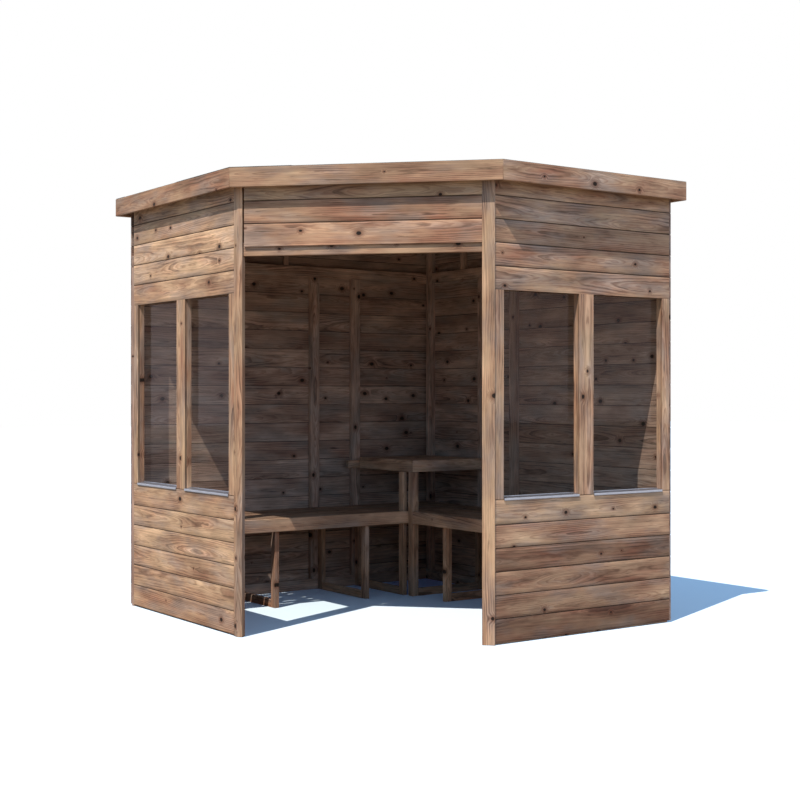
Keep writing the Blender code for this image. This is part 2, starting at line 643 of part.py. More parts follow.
def table():
    """A boarded top in a rim, on a leg whose frame also ends the right bench."""
    frame = bench_frame("table_leg_frame", RIGHT_BENCH, LEG_Y, RIGHT_FRONT, ROOM_X - GAP,
                        SLAT_BOTTOM - GAP)
    leg = block("table_leg", RIGHT_BENCH, (LEG_Y, LEG_Y + TABLE_LEG),
                (RIGHT_FRONT, RIGHT_FRONT + TABLE_LEG), (0, TABLE_UNDER - GAP), ease=0)
    combine(frame, [leg], "UNION")

    low_x, high_x = RIGHT_FRONT, ROOM_X - GAP
    low_y, high_y = LEG_Y, ROOM_Y - GAP
    end_y = high_y - LEDGER_WIDTH + BATTEN_BITE     # rim and side ledgers stop at the wall ledger
    rim = solid_of_outline("table_top", [[(low_x, low_y), (high_x, low_y),
                                          (high_x, low_y + TABLE_RIM_THICK),
                                          (low_x + TABLE_RIM_THICK, low_y + TABLE_RIM_THICK),
                                          (low_x + TABLE_RIM_THICK, end_y), (low_x, end_y)]],
                           TABLE_RIM_HEIGHT,
                           Matrix.Translation((0, 0, TABLE_HEIGHT - TABLE_RIM_HEIGHT / 2)), "bench")
    board_low = TABLE_HEIGHT - TABLE_BOARD_THICK
    ledger = (board_low - LEDGER_HEIGHT, board_low + BATTEN_BITE)
    inside_x, inside_y = low_x + TABLE_RIM_THICK, low_y + TABLE_RIM_THICK
    joined = [block("table_front_ledger", LEFT_BENCH, (inside_x - BATTEN_BITE, inside_x + LEDGER_WIDTH),
                    (inside_y - BATTEN_BITE, end_y), ledger, ease=0),
              block("table_back_ledger", LEFT_BENCH, (high_x - LEDGER_WIDTH, high_x),
                    (inside_y - BATTEN_BITE, end_y), ledger, ease=0)]
    width = (high_y - inside_y - TABLE_BOARD_SPACE * TABLE_BOARD_COUNT) / TABLE_BOARD_COUNT
    for count in range(TABLE_BOARD_COUNT):
        near = inside_y + TABLE_BOARD_SPACE + count * (width + TABLE_BOARD_SPACE)
        joined.append(block(f"table_board_{count + 1}", LEFT_BENCH,
                            (inside_x + TABLE_BOARD_SPACE, high_x), (near, near + width),
                            (board_low, TABLE_HEIGHT - ARRIS), ease=0))
    joined.append(block("table_wall_ledger", LEFT_BENCH, (low_x - WALL_LEDGER_LAP, high_x),
                        (high_y - LEDGER_WIDTH, high_y), ledger, ease=0))
    combine(rim, joined, "UNION")


# The whole building

def build():
    window_wall("left", LEFT)
    window_wall("right", RIGHT)
    back_walls()
    doorway()
    roof()
    benches()
    table()
    plan = bpy.data.objects.new("plan_origin", None)
    PARTS.objects.link(plan)
    outline = roof_corners(0)
    middle_x = (min(corner.x for corner in outline) + max(corner.x for corner in outline)) / 2
    middle_y = (min(corner.y for corner in outline) + max(corner.y for corner in outline)) / 2
    plan.location = (-middle_x, -middle_y, 0)
    for piece in list(PARTS.objects) + list(CUTTERS.objects):
        if piece is not plan:
            piece.parent = plan


build()
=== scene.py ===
import math
import bpy
import numpy as np
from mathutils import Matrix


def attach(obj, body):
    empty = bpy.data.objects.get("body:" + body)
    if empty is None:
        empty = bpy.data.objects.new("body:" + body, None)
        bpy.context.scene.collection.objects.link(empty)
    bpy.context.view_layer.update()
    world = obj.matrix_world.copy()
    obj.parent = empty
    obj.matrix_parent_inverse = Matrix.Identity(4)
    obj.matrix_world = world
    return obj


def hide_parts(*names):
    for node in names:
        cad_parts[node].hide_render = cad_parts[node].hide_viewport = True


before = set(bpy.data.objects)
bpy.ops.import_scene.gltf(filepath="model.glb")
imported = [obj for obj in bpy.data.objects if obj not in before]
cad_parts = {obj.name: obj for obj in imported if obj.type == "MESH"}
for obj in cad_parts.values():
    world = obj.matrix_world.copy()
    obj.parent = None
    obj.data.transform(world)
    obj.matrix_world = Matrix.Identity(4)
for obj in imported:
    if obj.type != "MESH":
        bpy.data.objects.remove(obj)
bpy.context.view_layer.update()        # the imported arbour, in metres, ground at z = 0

print("arbour: frame loaded")

east = np.array((1.0, 0.0, 0.0))          # along the right window wall
north = np.array((0.0, 1.0, 0.0))         # along the left window wall
up = np.array((0.0, 0.0, 1.0))
doorAlong = (east - north) / math.sqrt(2)     # across the doorway, left post to right post
doorOut = -(east + north) / math.sqrt(2)      # out of the doorway


# measures taken from the frame

footSlack = 1e-4         # a node's foot is its corners within this height of the lowest one, in metres


def pointsOf(node):
    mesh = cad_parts[node].data
    flat = np.empty(len(mesh.vertices) * 3)
    mesh.vertices.foreach_get("co", flat)
    return flat.reshape(-1, 3)


def span(node, direction):
    reach = pointsOf(node) @ direction
    return reach.min(), reach.max()


def footprint(node):
    # corners of a convex node's foot, in order round its middle
    points = pointsOf(node)
    low = points[points[:, 2] < points[:, 2].min() + footSlack][:, :2]
    foot = np.unique(np.round(low, decimals=5), axis=0)
    arm = foot - foot.mean(0)
    return foot[np.argsort(np.arctan2(arm[:, 1], arm[:, 0]))]


def clipped(outline, direction, reach):
    # the part of a convex outline where point · direction <= reach
    kept = []
    for one, two in zip(outline, np.roll(outline, -1, axis=0)):
        a, b = one @ direction - reach, two @ direction - reach
        if a <= 0:
            kept.append(one)
        if a * b < 0:
            kept.append(one + (two - one) * a / (a - b))
    return np.array(kept)


# solids

endDirt = 0.45        # how dark end grain is, out of 1
endLean = 0.5         # a side is end grain where it goes less than this along the grain for 1 of depth

# ranges that each timber's place in its log and its own traits are drawn from
log = {"along": (3, 60), "aside": (-0.04, 0.04), "fromPith": (0.012, 0.08),
       "ringWidth": (0, 1), "hue": (-0.06, 0.06), "shade": (0.96, 1.04)}


def ringStack(rings, outwards):
    # rings of equal length piled into one closed solid: quad(i, j) joins ring i to ring i + 1,
    # and the first and last rings are its caps; outwards is negative where that turns it inside out
    count, size = rings.shape[:2]
    ring, corner = np.meshgrid(np.arange(count - 1), np.arange(size), indexing="ij")
    after = (corner + 1) % size
    quads = np.stack((ring * size + corner, ring * size + after,
                      (ring + 1) * size + after, (ring + 1) * size + corner), -1).reshape(-1, 4)
    first, last = np.arange(size)[::-1], np.arange(size) + (count - 1) * size
    if outwards < 0:
        quads, first, last = quads[:, ::-1], first[::-1], last[::-1]
    return rings.reshape(-1, 3), quads.tolist() + [first.tolist(), last.tolist()]


def growth(local, grain, rng, tone):
    # where each point lay in its log: along the grain, then over the wider and the narrower of the
    # other two ways from the pith; and what is its own: ring width, hue and shade
    sizes = np.ptp(local, axis=0)
    others = sorted((axis for axis in (0, 1, 2) if axis != grain), key=lambda axis: -sizes[axis])
    place = local[:, [grain] + others]
    shift = (rng.uniform(*log["along"]), rng.uniform(*log["aside"]),
             rng.choice((-1, 1)) * rng.uniform(*log["fromPith"]))
    own = (rng.uniform(*log["ringWidth"]), tone[0] + rng.uniform(*log["hue"]),
           tone[1] * rng.uniform(*log["shade"]))
    return {"grain": place - place.mean(0) + np.array(shift), "own": np.broadcast_to(own, place.shape)}


def plank(section, run, axes, rng, tone, steps=1, grain=0, bow=0.0, dirt=0.0):
    # a closed section carried along a line: point = along·a + across·b + depth·c, with along
    # going evenly from run[0] to run[1], each a number or one value for each section point;
    # dirt and painted shade is one value for each side of the section
    section = np.asarray(section, float)
    size = len(section)
    start, end = (np.broadcast_to(np.asarray(edge, float), size) for edge in run)
    share = np.linspace(0, 1, steps + 1)[:, None]
    along = start + (end - start) * share
    across = np.broadcast_to(section[:, 0], along.shape)
    depth = section[:, 1] + bow * np.sin(math.pi * share)
    local = np.stack((along, across, depth), -1)
    x, y = section[:, 0], section[:, 1]
    area = (x * np.roll(y, -1) - np.roll(x, -1) * y).sum()
    axes = np.asarray(axes, float)
    points, faces = ringStack(local @ axes, area * np.linalg.det(axes))
    turn = np.abs(np.roll(section, -1, axis=0) - section)
    sideDirtAndShade = np.maximum(endDirt * ((grain == 1) & (turn[:, 0] < endLean * turn[:, 1])), dirt)
    grime = np.concatenate((np.tile(sideDirtAndShade, steps), np.full(2, endDirt * (grain == 0))))
    return {"points": points, "faces": faces, "grime": grime,
            **growth(local.reshape(-1, 3), grain, rng, tone)}


def beam(lows, highs, axes, rng, tone, grain=0, dirt=0.0):
    # a squared timber between two corners, measured along the three axes
    (a, b, c), (d, e, f) = lows, highs
    return plank(((b, c), (e, c), (e, f), (b, f)), (a, d), axes, rng, tone, grain=grain, dirt=dirt)


def camel(node):
    # left_top_plate becomes leftTopPlate
    first, *rest = node.split("_")
    return first + "".join(word.title() for word in rest)


def makePiece(name, planks, material, nodes, ease=0.0, sharp=35):
    starts = np.cumsum([0] + [len(p["points"]) for p in planks[:-1]])
    faces = [[int(i) + int(s) for i in face] for p, s in zip(planks, starts) for face in p["faces"]]
    mesh = bpy.data.meshes.new(name)
    mesh.from_pydata(np.concatenate([p["points"] for p in planks]).tolist(), [], faces)
    for key in ("grain", "own"):
        values = np.concatenate([p[key] for p in planks]).astype(np.float32)
        mesh.attributes.new(key, "FLOAT_VECTOR", "POINT").data.foreach_set("vector", values.ravel())
    grime = np.concatenate([p["grime"] for p in planks]).astype(np.float32)
    mesh.attributes.new("grime", "FLOAT", "FACE").data.foreach_set("value", grime)
    mesh.shade_smooth()
    mesh.set_sharp_from_angle(angle=math.radians(sharp))
    piece = bpy.data.objects.new(name, mesh)
    bpy.context.scene.collection.objects.link(piece)
    mesh.materials.append(material)
    if ease:
        bevel = piece.modifiers.new("eased edges", "BEVEL")
        bevel.width = ease
        bevel.segments = 2
        bevel.limit_method = "ANGLE"
        bevel.angle_limit = math.radians(50)
    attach(piece, "root")
    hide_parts(*nodes)


# materials

def srgb(code):
    value = [int(code[i:i + 2], 16) / 255 for i in (1, 3, 5)]
    return [v / 12.92 if v <= 0.04045 else ((v + 0.055) / 1.055) ** 2.4 for v in value] + [1.0]


def addNode(tree, kind, inputs=None, **settings):
    # an input is a number, a socket, or a node, which stands for its first output
    node = tree.nodes.new("ShaderNode" + kind)
    for key, value in settings.items():
        setattr(node, key, value)
    for key, value in (inputs or {}).items():
        if isinstance(value, bpy.types.Node):
            value = value.outputs[0]
        if isinstance(value, bpy.types.NodeSocket):
            tree.links.new(value, node.inputs[key])
        else:
            node.inputs[key].default_value = value
    return node


# Redwood (Scots pine), planed, brown pressure-treated and out in the weather for a season: narrow
# rings that the eye takes for soft streaks and arches, redder heart, tight brown knots, grey bloom.
redwood = {
    "pale": "#CFAC89", "heart": "#A66F57", "summer": "#74462F", "grey": "#A89486",
    "knot": "#1C100B", "knotEdge": "#5C3220",
    "wander": (0.0, 0.05, 0.085),    # how far the pith wanders over a board's width and thickness
    "ring": 0.0032,                  # one year's growth, in metres
    "ringLeast": 0.7,                # a timber's own rings are this share of it,
    "ringMore": 0.6,                 # and up to this share wider
    "tremble": 0.012,                # how far small waves move a ring
    "band": 0.0085,                  # a run of narrow years reads as one dark line, as wide as shows
    "climb": {"From Min": 0.35, "From Max": 0.85},      # of summer wood, in shares of the year
    "fall": {"From Min": 1.0, "From Max": 0.92},
    "eraWaves": 0.45,                # runs of good and poor years, in waves a year
    "knotCell": (0.20, 0.15),        # a patch this long and this wide holds one knot at most
    "knotShare": 0.33,               # of the patches hold one
    "knotSize": (0.0036, 0.0120),    # radius of the narrowest and the widest knots
    "knotRagged": 0.004,             # how far its edge strays
    "knotFull": 0.9,                 # it is whole within this many radii,
    "knotReach": (1.25, 3.8),        # and its core and its halo end at these
    "knotPush": 0.010,               # how far the rings part round it
    "rimPower": 1.6, "rimMost": 0.62,                   # how the halo darkens towards it
    "hueSwing": 1.9,                 # how far a patch is redder or paler than its timber
    "bloom": {"From Min": 0.46, "From Max": 0.66, "To Max": 0.75},          # where patches go grey
    "bandShare": {"From Min": 0.42, "From Max": 0.62, "To Max": 0.5},       # and where bands show
    "summerMost": 0.36,              # how much of its colour summer wood shows
    "roughness": {"To Min": 0.80, "To Max": 0.66},      # of spring wood and of summer wood
    "summerRise": 0.5, "knotRise": 0.6,                 # beside the fibres' own height of 1
    "bump": {"Strength": 0.35, "Distance": 0.0006},
    "specular": 0.3}

# its noises: waves a metre along and across the grain, detail and roughness; fibres and drying
# checks are 5 and 8 mm a wave, far wider than real ones, so that they show
woodNoises = {
    "drift": (0.9, 2.0, 1.0, 0.5), "ragged": (90.0, 160.0, 2.0, 0.5), "tremble": (5.0, 22.0, 3.0, 0.5),
    "fibres": (6.0, 187.5, 3.0, 0.6), "streaks": (3.0, 60.0, 4.0, 0.62),
    "checks": (8.0, 120.0, 3.0, 0.55), "patches": (3.2, 11.0, 3.0, 0.55)}

# what each pattern does to the shade: from its first value to its second, shade goes from the
# third to the fourth
woodTones = {
    "eras": (0.3, 0.7, 0.84, 1.12), "streaks": (0.3, 0.7, 0.85, 1.12), "fibres": (0.25, 0.75, 0.86, 1.10),
    # grime darkens dirt in the joints and on end grain, painted shade on the boards' inner faces, and dirt
    # with a painted shadow on the window covers' edges
    "checks": (0.62, 0.70, 1.0, 0.55), "patches": (0.3, 0.7, 0.71, 1.26), "grime": (0.0, 1.0, 1.0, 0.27)}


def redwoodMaterial(name, look):
    mat = bpy.data.materials.new(name)
    mat.use_nodes = True
    tree = mat.node_tree
    shader = tree.nodes["Principled BSDF"]
    grain = addNode(tree, "Attribute", attribute_name="grain").outputs["Vector"]
    ownValues = addNode(tree, "Attribute", attribute_name="own").outputs["Vector"]
    own = addNode(tree, "SeparateXYZ", {0: ownValues}).outputs
    grime = addNode(tree, "Attribute", attribute_name="grime").outputs["Fac"]
    noises = {}
    for key, (along, across, detail, roughness) in woodNoises.items():
        at = addNode(tree, "VectorMath", {0: grain, 1: (along, across, across)}, operation="MULTIPLY")
        noises[key] = addNode(tree, "TexNoise", {"Vector": at, "Scale": 1.0, "Detail": detail,
                                                 "Roughness": roughness})

    # the pith wanders slowly along the log, so its rings meet the face in long arches
    drift = noises["drift"].outputs["Color"]
    aside = addNode(tree, "VectorMath", {0: drift, 1: (0.5, 0.5, 0.5)}, operation="SUBTRACT")
    moved = addNode(tree, "VectorMath", {0: aside, 1: look["wander"], 2: grain}, operation="MULTIPLY_ADD")
    level = addNode(tree, "VectorMath", {0: moved, 1: (0.0, 1.0, 1.0)}, operation="MULTIPLY")
    radius = addNode(tree, "VectorMath", {0: level}, operation="LENGTH").outputs["Value"]

    # knots: a patch of the board has one or none, of its own size, and the rings part round it
    length, width = look["knotCell"]
    knotAt = addNode(tree, "VectorMath", {0: grain, 1: (1 / length, 1 / width, 0.0)}, operation="MULTIPLY")
    knots = addNode(tree, "TexVoronoi", {"Vector": knotAt, "Scale": 1.0}, voronoi_dimensions="2D")
    knotOwn = addNode(tree, "SeparateColor", {0: knots.outputs["Color"]}).outputs
    far = addNode(tree, "Math", {0: knots.outputs["Distance"], 1: width}, operation="MULTIPLY")
    there = addNode(tree, "Math", {0: knotOwn[1], 1: 1 - look["knotShare"]}, operation="GREATER_THAN")
    least, most = look["knotSize"]
    size = addNode(tree, "MapRange", {"Value": knotOwn[0], "To Min": least, "To Max": most})
    strayed = addNode(tree, "Math", {0: noises["ragged"], 1: look["knotRagged"], 2: far},
                      operation="MULTIPLY_ADD")
    apart = addNode(tree, "Math", {0: strayed, 1: size}, operation="DIVIDE")
    around = []
    for reach in look["knotReach"]:
        near = addNode(tree, "MapRange", {"Value": apart, "From Min": reach, "From Max": look["knotFull"]},
                       interpolation_type="SMOOTHSTEP")
        around.append(addNode(tree, "Math", {0: near, 1: there}, operation="MULTIPLY"))
    core, halo = around

    # yearly rings: a slow climb from spring wood to summer wood and a sharp fall
    ring = look["ring"]
    parted = addNode(tree, "Math", {0: halo, 1: look["knotPush"], 2: radius}, operation="MULTIPLY_ADD")
    place = addNode(tree, "Math", {0: noises["tremble"], 1: look["tremble"], 2: parted},
                    operation="MULTIPLY_ADD")
    ringWidth = addNode(tree, "Math", {0: own[0], 1: look["ringMore"] * ring, 2: look["ringLeast"] * ring},
                        operation="MULTIPLY_ADD")
    years = addNode(tree, "Math", {0: place, 1: ringWidth}, operation="DIVIDE")
    bandYears = addNode(tree, "Math", {0: place, 1: look["band"]}, operation="DIVIDE")
    darkened = []
    for count in (years, bandYears):
        year = addNode(tree, "Math", {0: count}, operation="FRACT")
        climb, fall = (addNode(tree, "MapRange", {"Value": year, **look[key]},
                               interpolation_type="SMOOTHSTEP") for key in ("climb", "fall"))
        darkened.append(addNode(tree, "Math", {0: climb, 1: fall}, operation="MULTIPLY"))
    summer, bands = darkened
    eras = addNode(tree, "TexNoise", {"W": years, "Scale": look["eraWaves"], "Detail": 2.0},
                   noise_dimensions="1D")

    # heart wood, grey bloom and summer wood, each over the one before
    patch = addNode(tree, "SeparateColor", {0: noises["patches"].outputs["Color"]}).outputs
    swing = look["hueSwing"]
    hue = addNode(tree, "Math", {0: patch[0], 1: swing, 2: -swing / 2}, operation="MULTIPLY_ADD")
    reddish = addNode(tree, "Math", {0: hue, 1: own[1]}, operation="ADD", use_clamp=True)
    bloom = addNode(tree, "MapRange", {"Value": patch[1], **look["bloom"]})
    summerShare = addNode(tree, "Math", {0: summer, 1: look["summerMost"]}, operation="MULTIPLY")
    colour = srgb(look["pale"])
    for share, key in ((reddish, "heart"), (bloom, "grey"), (summerShare, "summer")):
        colour = addNode(tree, "Mix", {0: share, 6: colour, 7: srgb(look[key])}, data_type="RGBA").outputs[2]

    # the shade of each pattern over them all, and the knots on top
    bandShare = addNode(tree, "MapRange", {"Value": patch[0], **look["bandShare"]})
    banded = addNode(tree, "Math", {0: bands, 1: bandShare}, operation="MULTIPLY")
    bandTone = addNode(tree, "Math", {0: 1.0, 1: banded}, operation="SUBTRACT")
    shade = addNode(tree, "Math", {0: own[2], 1: bandTone}, operation="MULTIPLY")
    patterns = {**noises, "eras": eras, "patches": patch[2], "grime": grime}
    for key, (low, high, atLow, atHigh) in woodTones.items():
        tone = addNode(tree, "MapRange", {"Value": patterns[key], "From Min": low, "From Max": high,
                                          "To Min": atLow, "To Max": atHigh})
        shade = addNode(tree, "Math", {0: shade, 1: tone}, operation="MULTIPLY")
    colour = addNode(tree, "VectorMath", {0: colour, "Scale": shade}, operation="SCALE")
    rim = addNode(tree, "Math", {0: halo, 1: look["rimPower"]}, operation="POWER")
    rimShare = addNode(tree, "Math", {0: rim, 1: look["rimMost"]}, operation="MULTIPLY")
    for share, key in ((rimShare, "knotEdge"), (core, "knot")):
        colour = addNode(tree, "Mix", {0: share, 6: colour, 7: srgb(look[key])}, data_type="RGBA").outputs[2]
    tree.links.new(colour, shader.inputs["Base Color"])

    gloss = addNode(tree, "MapRange", {"Value": summer, **look["roughness"]})
    tree.links.new(gloss.outputs[0], shader.inputs["Roughness"])
    ridges = addNode(tree, "Math", {0: summer, 1: look["summerRise"], 2: noises["fibres"]},
                     operation="MULTIPLY_ADD")
    height = addNode(tree, "Math", {0: core, 1: look["knotRise"], 2: ridges}, operation="MULTIPLY_ADD")
    bump = addNode(tree, "Bump", {"Height": height, **look["bump"]})
    tree.links.new(bump.outputs[0], shader.inputs["Normal"])
    shader.inputs["Specular IOR Level"].default_value = look["specular"]
    return mat


timber = redwoodMaterial("redwoodPlaned", redwood)

# the same wood under the roof, a little paler: out of the weather, and a copy coloured for the shade under
# the roof, which is painted shade
sheltered = {**redwood, "pale": "#D4B294", "heart": "#B07E62", "grey": "#AC988C"}
shelteredShadeTimber = redwoodMaterial("redwoodSheltered", sheltered)
# and in the back walls, paler and greyer: a copy of the wood coloured for the shade inside, which is painted
# shade
shaded = {**redwood, "pale": "#D4B49F", "heart": "#A67E6D", "grey": "#AB9C92"}
greyTimber = redwoodMaterial("redwoodShaded", shaded)


# tongue-and-groove boards, one solid each
boarding = {
    "cover": 0.112, "thick": 0.012, "tongue": 0.0075, "tongueThick": 0.0034, "tongueEase": 0.0003,
    "clear": 0.0002, "play": 0.0012,
    "plainEase": 0.001,               # of a wall's foot and its top
    "shoulder": 0.0028, "shoulderDepth": 0.0032, "lip": 0.0006,    # the V beside the tongue
    "bend": 0.35,                     # where a shoulder bends, as a share of its width and its depth
    "backEase": 0.0014, "backDepth": 0.0016,
    # how far a board stands proud, cups across its face and bows along its length, drawn for each
    "proud": 0.0005, "cup": 0.0004, "leastCup": 0.2, "facePoints": 7, "bow": (-0.0002, 0.0005),
    "lastRow": 0.1,                   # less than this share of a board more is no row of its own
    "steps": 18, "seed": 11}

# how dark each side of a board's section is, out of 1: dirt in and beside the joints, and painted shade on
# the inner face
boardDirtAndShade = {"joint": 1.0, "shoulder": 0.9, "underShoulder": 0.7, "faceTop": 0.25, "foot": 0.2, "top": 0.5,
             "inner": 0.12}


def boardSection(bottom, top, first, last, rng):
    # (height, depth from the weather face, dirt and painted shade on the side that starts here): shoulders
    # ease the face into the joint's V, and the face is cupped by cup·(1 - (2u - 1)²) across its width;
    # the first board's foot and the last one's top are plain
    b, dirt = boarding, boardDirtAndShade
    cup = rng.uniform(b["leastCup"], 1) * b["cup"]
    proud = rng.uniform(0, b["proud"])
    low, high = bottom + b["play"] / 2 * (not first), top - b["play"] / 2 * (not last)
    thick, middle, half = b["thick"], b["thick"] / 2, b["tongueThick"] / 2
    jointDepth, bendDepth = b["shoulderDepth"] + b["lip"], b["shoulderDepth"] * b["bend"] + proud
    footEase, topEase = (b["plainEase"] if plain else b["shoulder"] for plain in (first, last))
    width = high - low - footEase - topEase
    if first:
        outer = [(low, b["plainEase"], dirt["foot"])]
    else:
        outer = [(low, jointDepth, dirt["joint"]), (low + footEase * b["bend"], bendDepth, dirt["shoulder"])]
    outer += [(low + footEase + u * width, proud + cup * (1 - (2 * u - 1) ** 2), 0)
              for u in np.linspace(0, 1, b["facePoints"])]
    outer[-1] = (*outer[-1][:2], dirt["faceTop"])
    if last:
        outer += [(high, b["plainEase"], dirt["top"])]
    else:
        tip, near, far = high + b["tongue"], middle - half, middle + half
        outer += [(high - topEase * b["bend"], bendDepth, dirt["underShoulder"])]
        outer += [(height, depth, dirt["joint"]) for height, depth in (
            (high, jointDepth), (high, near), (tip, near + b["tongueEase"]), (tip, far - b["tongueEase"]),
            (high, far))]
    inner = [(high, thick - b["backDepth"], dirt["shoulder"]), (high - b["backEase"], thick, dirt["inner"]),
             (low + b["backEase"], thick, dirt["shoulder"]), (low, thick - b["backDepth"], dirt["joint"])]
    if first:
        return np.array(outer + inner)
    slot, root = half + b["clear"], low + b["tongue"] + b["play"]
    groove = [(height, depth, dirt["joint"]) for height, depth in (
        (low, middle + slot), (root, middle + slot), (root, middle - slot), (low, middle - slot))]
    return np.array(outer + inner + groove)


def boardWall(node, outward, along, seed, tones):
    # tones are (hue, shade) for each board, counted up from the bottom
    b = boarding
    rng = np.random.default_rng(b["seed"] + seed)
    (low, high), ends, face = span(node, up), span(node, along), span(node, outward)[1]
    rows = math.ceil((high - low) / b["cover"] - b["lastRow"])
    boards = []
    for row in range(rows):
        bottom, last = low + row * b["cover"], row == rows - 1
        section = boardSection(bottom, high if last else bottom + b["cover"], row == 0, last, rng)
        section[:, 1] -= face
        boards.append(plank(section[:, :2], ends, (along, up, -outward), rng, tones[row % len(tones)],
                            steps=b["steps"], bow=rng.uniform(*b["bow"]), dirt=section[:, 2]))
    wood = greyTimber if "back" in node else timber
    makePiece(camel(node).replace("Cladding", "Boards"), boards, wood, [node])


boardWalls = {
    "left_lower_cladding": (-east, north, (
        (0.32, 0.90), (0.18, 0.94), (0.22, 0.92), (0.12, 1.06), (0.16, 1.02), (0.28, 0.98))),
    "left_upper_cladding": (-east, north, (
        (0.24, 1.02), (0.05, 1.10), (0.04, 1.28), (0.30, 1.0), (0.18, 0.94), (0.22, 0.94))),
    "right_lower_cladding": (-north, east, (
        (0.64, 0.47), (0.58, 0.72), (0.50, 0.74), (0.58, 0.57), (0.40, 0.87), (0.16, 1.08))),
    "right_upper_cladding": (-north, east, (
        (0.40, 1.0), (0.46, 0.94), (0.40, 0.86), (0.30, 0.98), (0.32, 1.02), (0.36, 1.0))),
    "back_left_cladding": (north, east, ((0.42, 0.92), (0.5, 0.84), (0.36, 0.98), (0.55, 0.88))),
    "back_right_cladding": (east, north, ((0.4, 0.92), (0.5, 0.96), (0.45, 0.84))),
    "header_cladding": (doorOut, doorAlong, ((0.50, 0.98), (0.55, 0.88), (0.24, 0.90)))}
for count, (node, (outward, along, tones)) in enumerate(boardWalls.items()):
    boardWall(node, outward, along, count, tones)
print("arbour: boarding laid")


# squared framing
# the rafters' tone is darker, as painted shade under the roof
framing = {"ease": 0.0018, "tone": (0.42, 0.95), "roofPaintedShadeTone": (0.5, 0.6), "benchTone": (0.45, 0.92),
           "seed": 101}


def squared(node, along, seed, slot="framing", tone=framing["tone"]):
    # one timber that fills its node, with its grain along the first axis
    rng = np.random.default_rng(framing["seed"] + seed)
    side = east if along is up else np.cross(up, along)
    axes = (along, side, np.cross(along, side))
    ranges = [span(node, axis) for axis in axes]
    lows, highs = [r[0] for r in ranges], [r[1] for r in ranges]
    wood = shelteredShadeTimber if slot == "bench" else greyTimber if "back" in node else timber
    makePiece(camel(node), [beam(lows, highs, axes, rng, tone)], wood, [node], ease=framing["ease"])


squaredTimbers = {}
for wall, along in (("left", north), ("right", east), ("back_left", east), ("back_right", north)):
    for part in ("bottom_plate", "top_plate"):
        squaredTimbers[f"{wall}_{part}"] = along
for wall in ("back_left", "back_right"):
    for part in ("stud_1", "stud_2", "stud_3", "short_stud"):
        squaredTimbers[f"{wall}_{part}"] = up
squaredTimbers.update({"header_rail": doorAlong, "front_rafter": east, "rear_rafter": east})
for count, (node, along) in enumerate(squaredTimbers.items()):
    if "rafter" in node:
        squared(node, along, count, "roof_timber", framing["roofPaintedShadeTone"])
    else:
        squared(node, along, count)


# window walls: a cover board outside each post, on a stud that is halved for the sill rail, which
# is halved on its weather side for the studs
windowWalls = {"left": (-east, north), "right": (-north, east)}      # outwards, and along the wall
windowParts = ("front_stile", "mullion", "rear_stile")
windowPosts = {"cover": 0.012, "gap": 0.0003, "half": 0.014, "ease": 0.0016, "edgeDirtAndShadow": 0.7,
               "studTone": (0.4, 0.85), "tone": {"left": (0.25, 0.94), "right": (0.32, 1.08)},
               "seed": 201, "railSeed": 251}


def windowPost(wall, part, outward, along, seed):
    w, node = windowPosts, f"{wall}_{part}"
    rng = np.random.default_rng(w["seed"] + seed)
    (low, high), sides, (face, back) = span(node, up), span(node, along), span(node, -outward)
    rail = span(wall + "_sill_rail", up)
    head = span(wall + "_upper_cladding", up)[0] - w["gap"]
    stud = face + w["cover"] + w["gap"]
    halved = stud + w["half"] - w["gap"]
    railLow, railHigh = rail[0] - w["gap"], rail[1] + w["gap"]
    section = [(low, stud), (railLow, stud), (railHigh, stud), (high, stud), (high, back), (railHigh, back),
               (railHigh, halved), (railLow, halved), (railLow, back), (low, back)]
    post = plank(section, sides, (along, up, -outward), rng, w["studTone"], grain=1)
    # the cover board's two long edges are darker: dirt, and a painted shadow along the edge beside the
    # glazing
    cover = beam((rail[1], sides[0], face), (head, sides[1], face + w["cover"]), (up, along, -outward), rng,
                 w["tone"][wall], dirt=(0, w["edgeDirtAndShadow"], 0, w["edgeDirtAndShadow"]))
    makePiece(camel(node), [cover, post], timber, [node], ease=w["ease"])


def sillRail(wall, outward, along, seed):
    w, node = windowPosts, wall + "_sill_rail"
    rng = np.random.default_rng(w["railSeed"] + seed)
    (start, end), (outer, inner) = span(node, along), span(node, -outward)
    posts = [span(f"{wall}_{part}", along) for part in windowParts]
    halved = inner - w["half"] + w["gap"]
    section = [(start, halved)]
    for before, after in zip(posts, posts[1:]):
        bay = before[1] + w["gap"], after[0] - w["gap"]
        section += [(bay[0], halved), (bay[0], outer), (bay[1], outer), (bay[1], halved)]
    section += [(end, halved), (end, inner), (start, inner)]
    rail = plank(section, span(node, up), (up, along, -outward), rng, w["studTone"], grain=1)
    makePiece(camel(node), [rail], timber, [node], ease=w["ease"] / 2)


for count, (wall, (outward, along)) in enumerate(windowWalls.items()):
    for turn, part in enumerate(windowParts):
        windowPost(wall, part, outward, along, len(windowParts) * count + turn)
for count, (wall, (outward, along)) in enumerate(windowWalls.items()):
    sillRail(wall, outward, along, count)
print("arbour: frames up")


# posts and fascias, on outlines that aren't square
shaped = {"ease": 0.0022, "postSeed": 301, "fasciaSeed": 311}


def shapedTimber(node, grainDirection, seed, tone):
    # a plan outline carried from the node's foot to its top, drawn in axes that follow its grain
    rng = np.random.default_rng(seed)
    foot = footprint(node)
    if grainDirection is up:
        run = plank(foot, span(node, up), (up, east, north), rng, tone)
    else:
        side = np.cross(up, grainDirection)
        section = np.stack((foot @ grainDirection[:2], foot @ side[:2]), -1)
        run = plank(section, span(node, up), (up, grainDirection, side), rng, tone, grain=1)
    makePiece(camel(node), [run], timber, [node], ease=shaped["ease"])


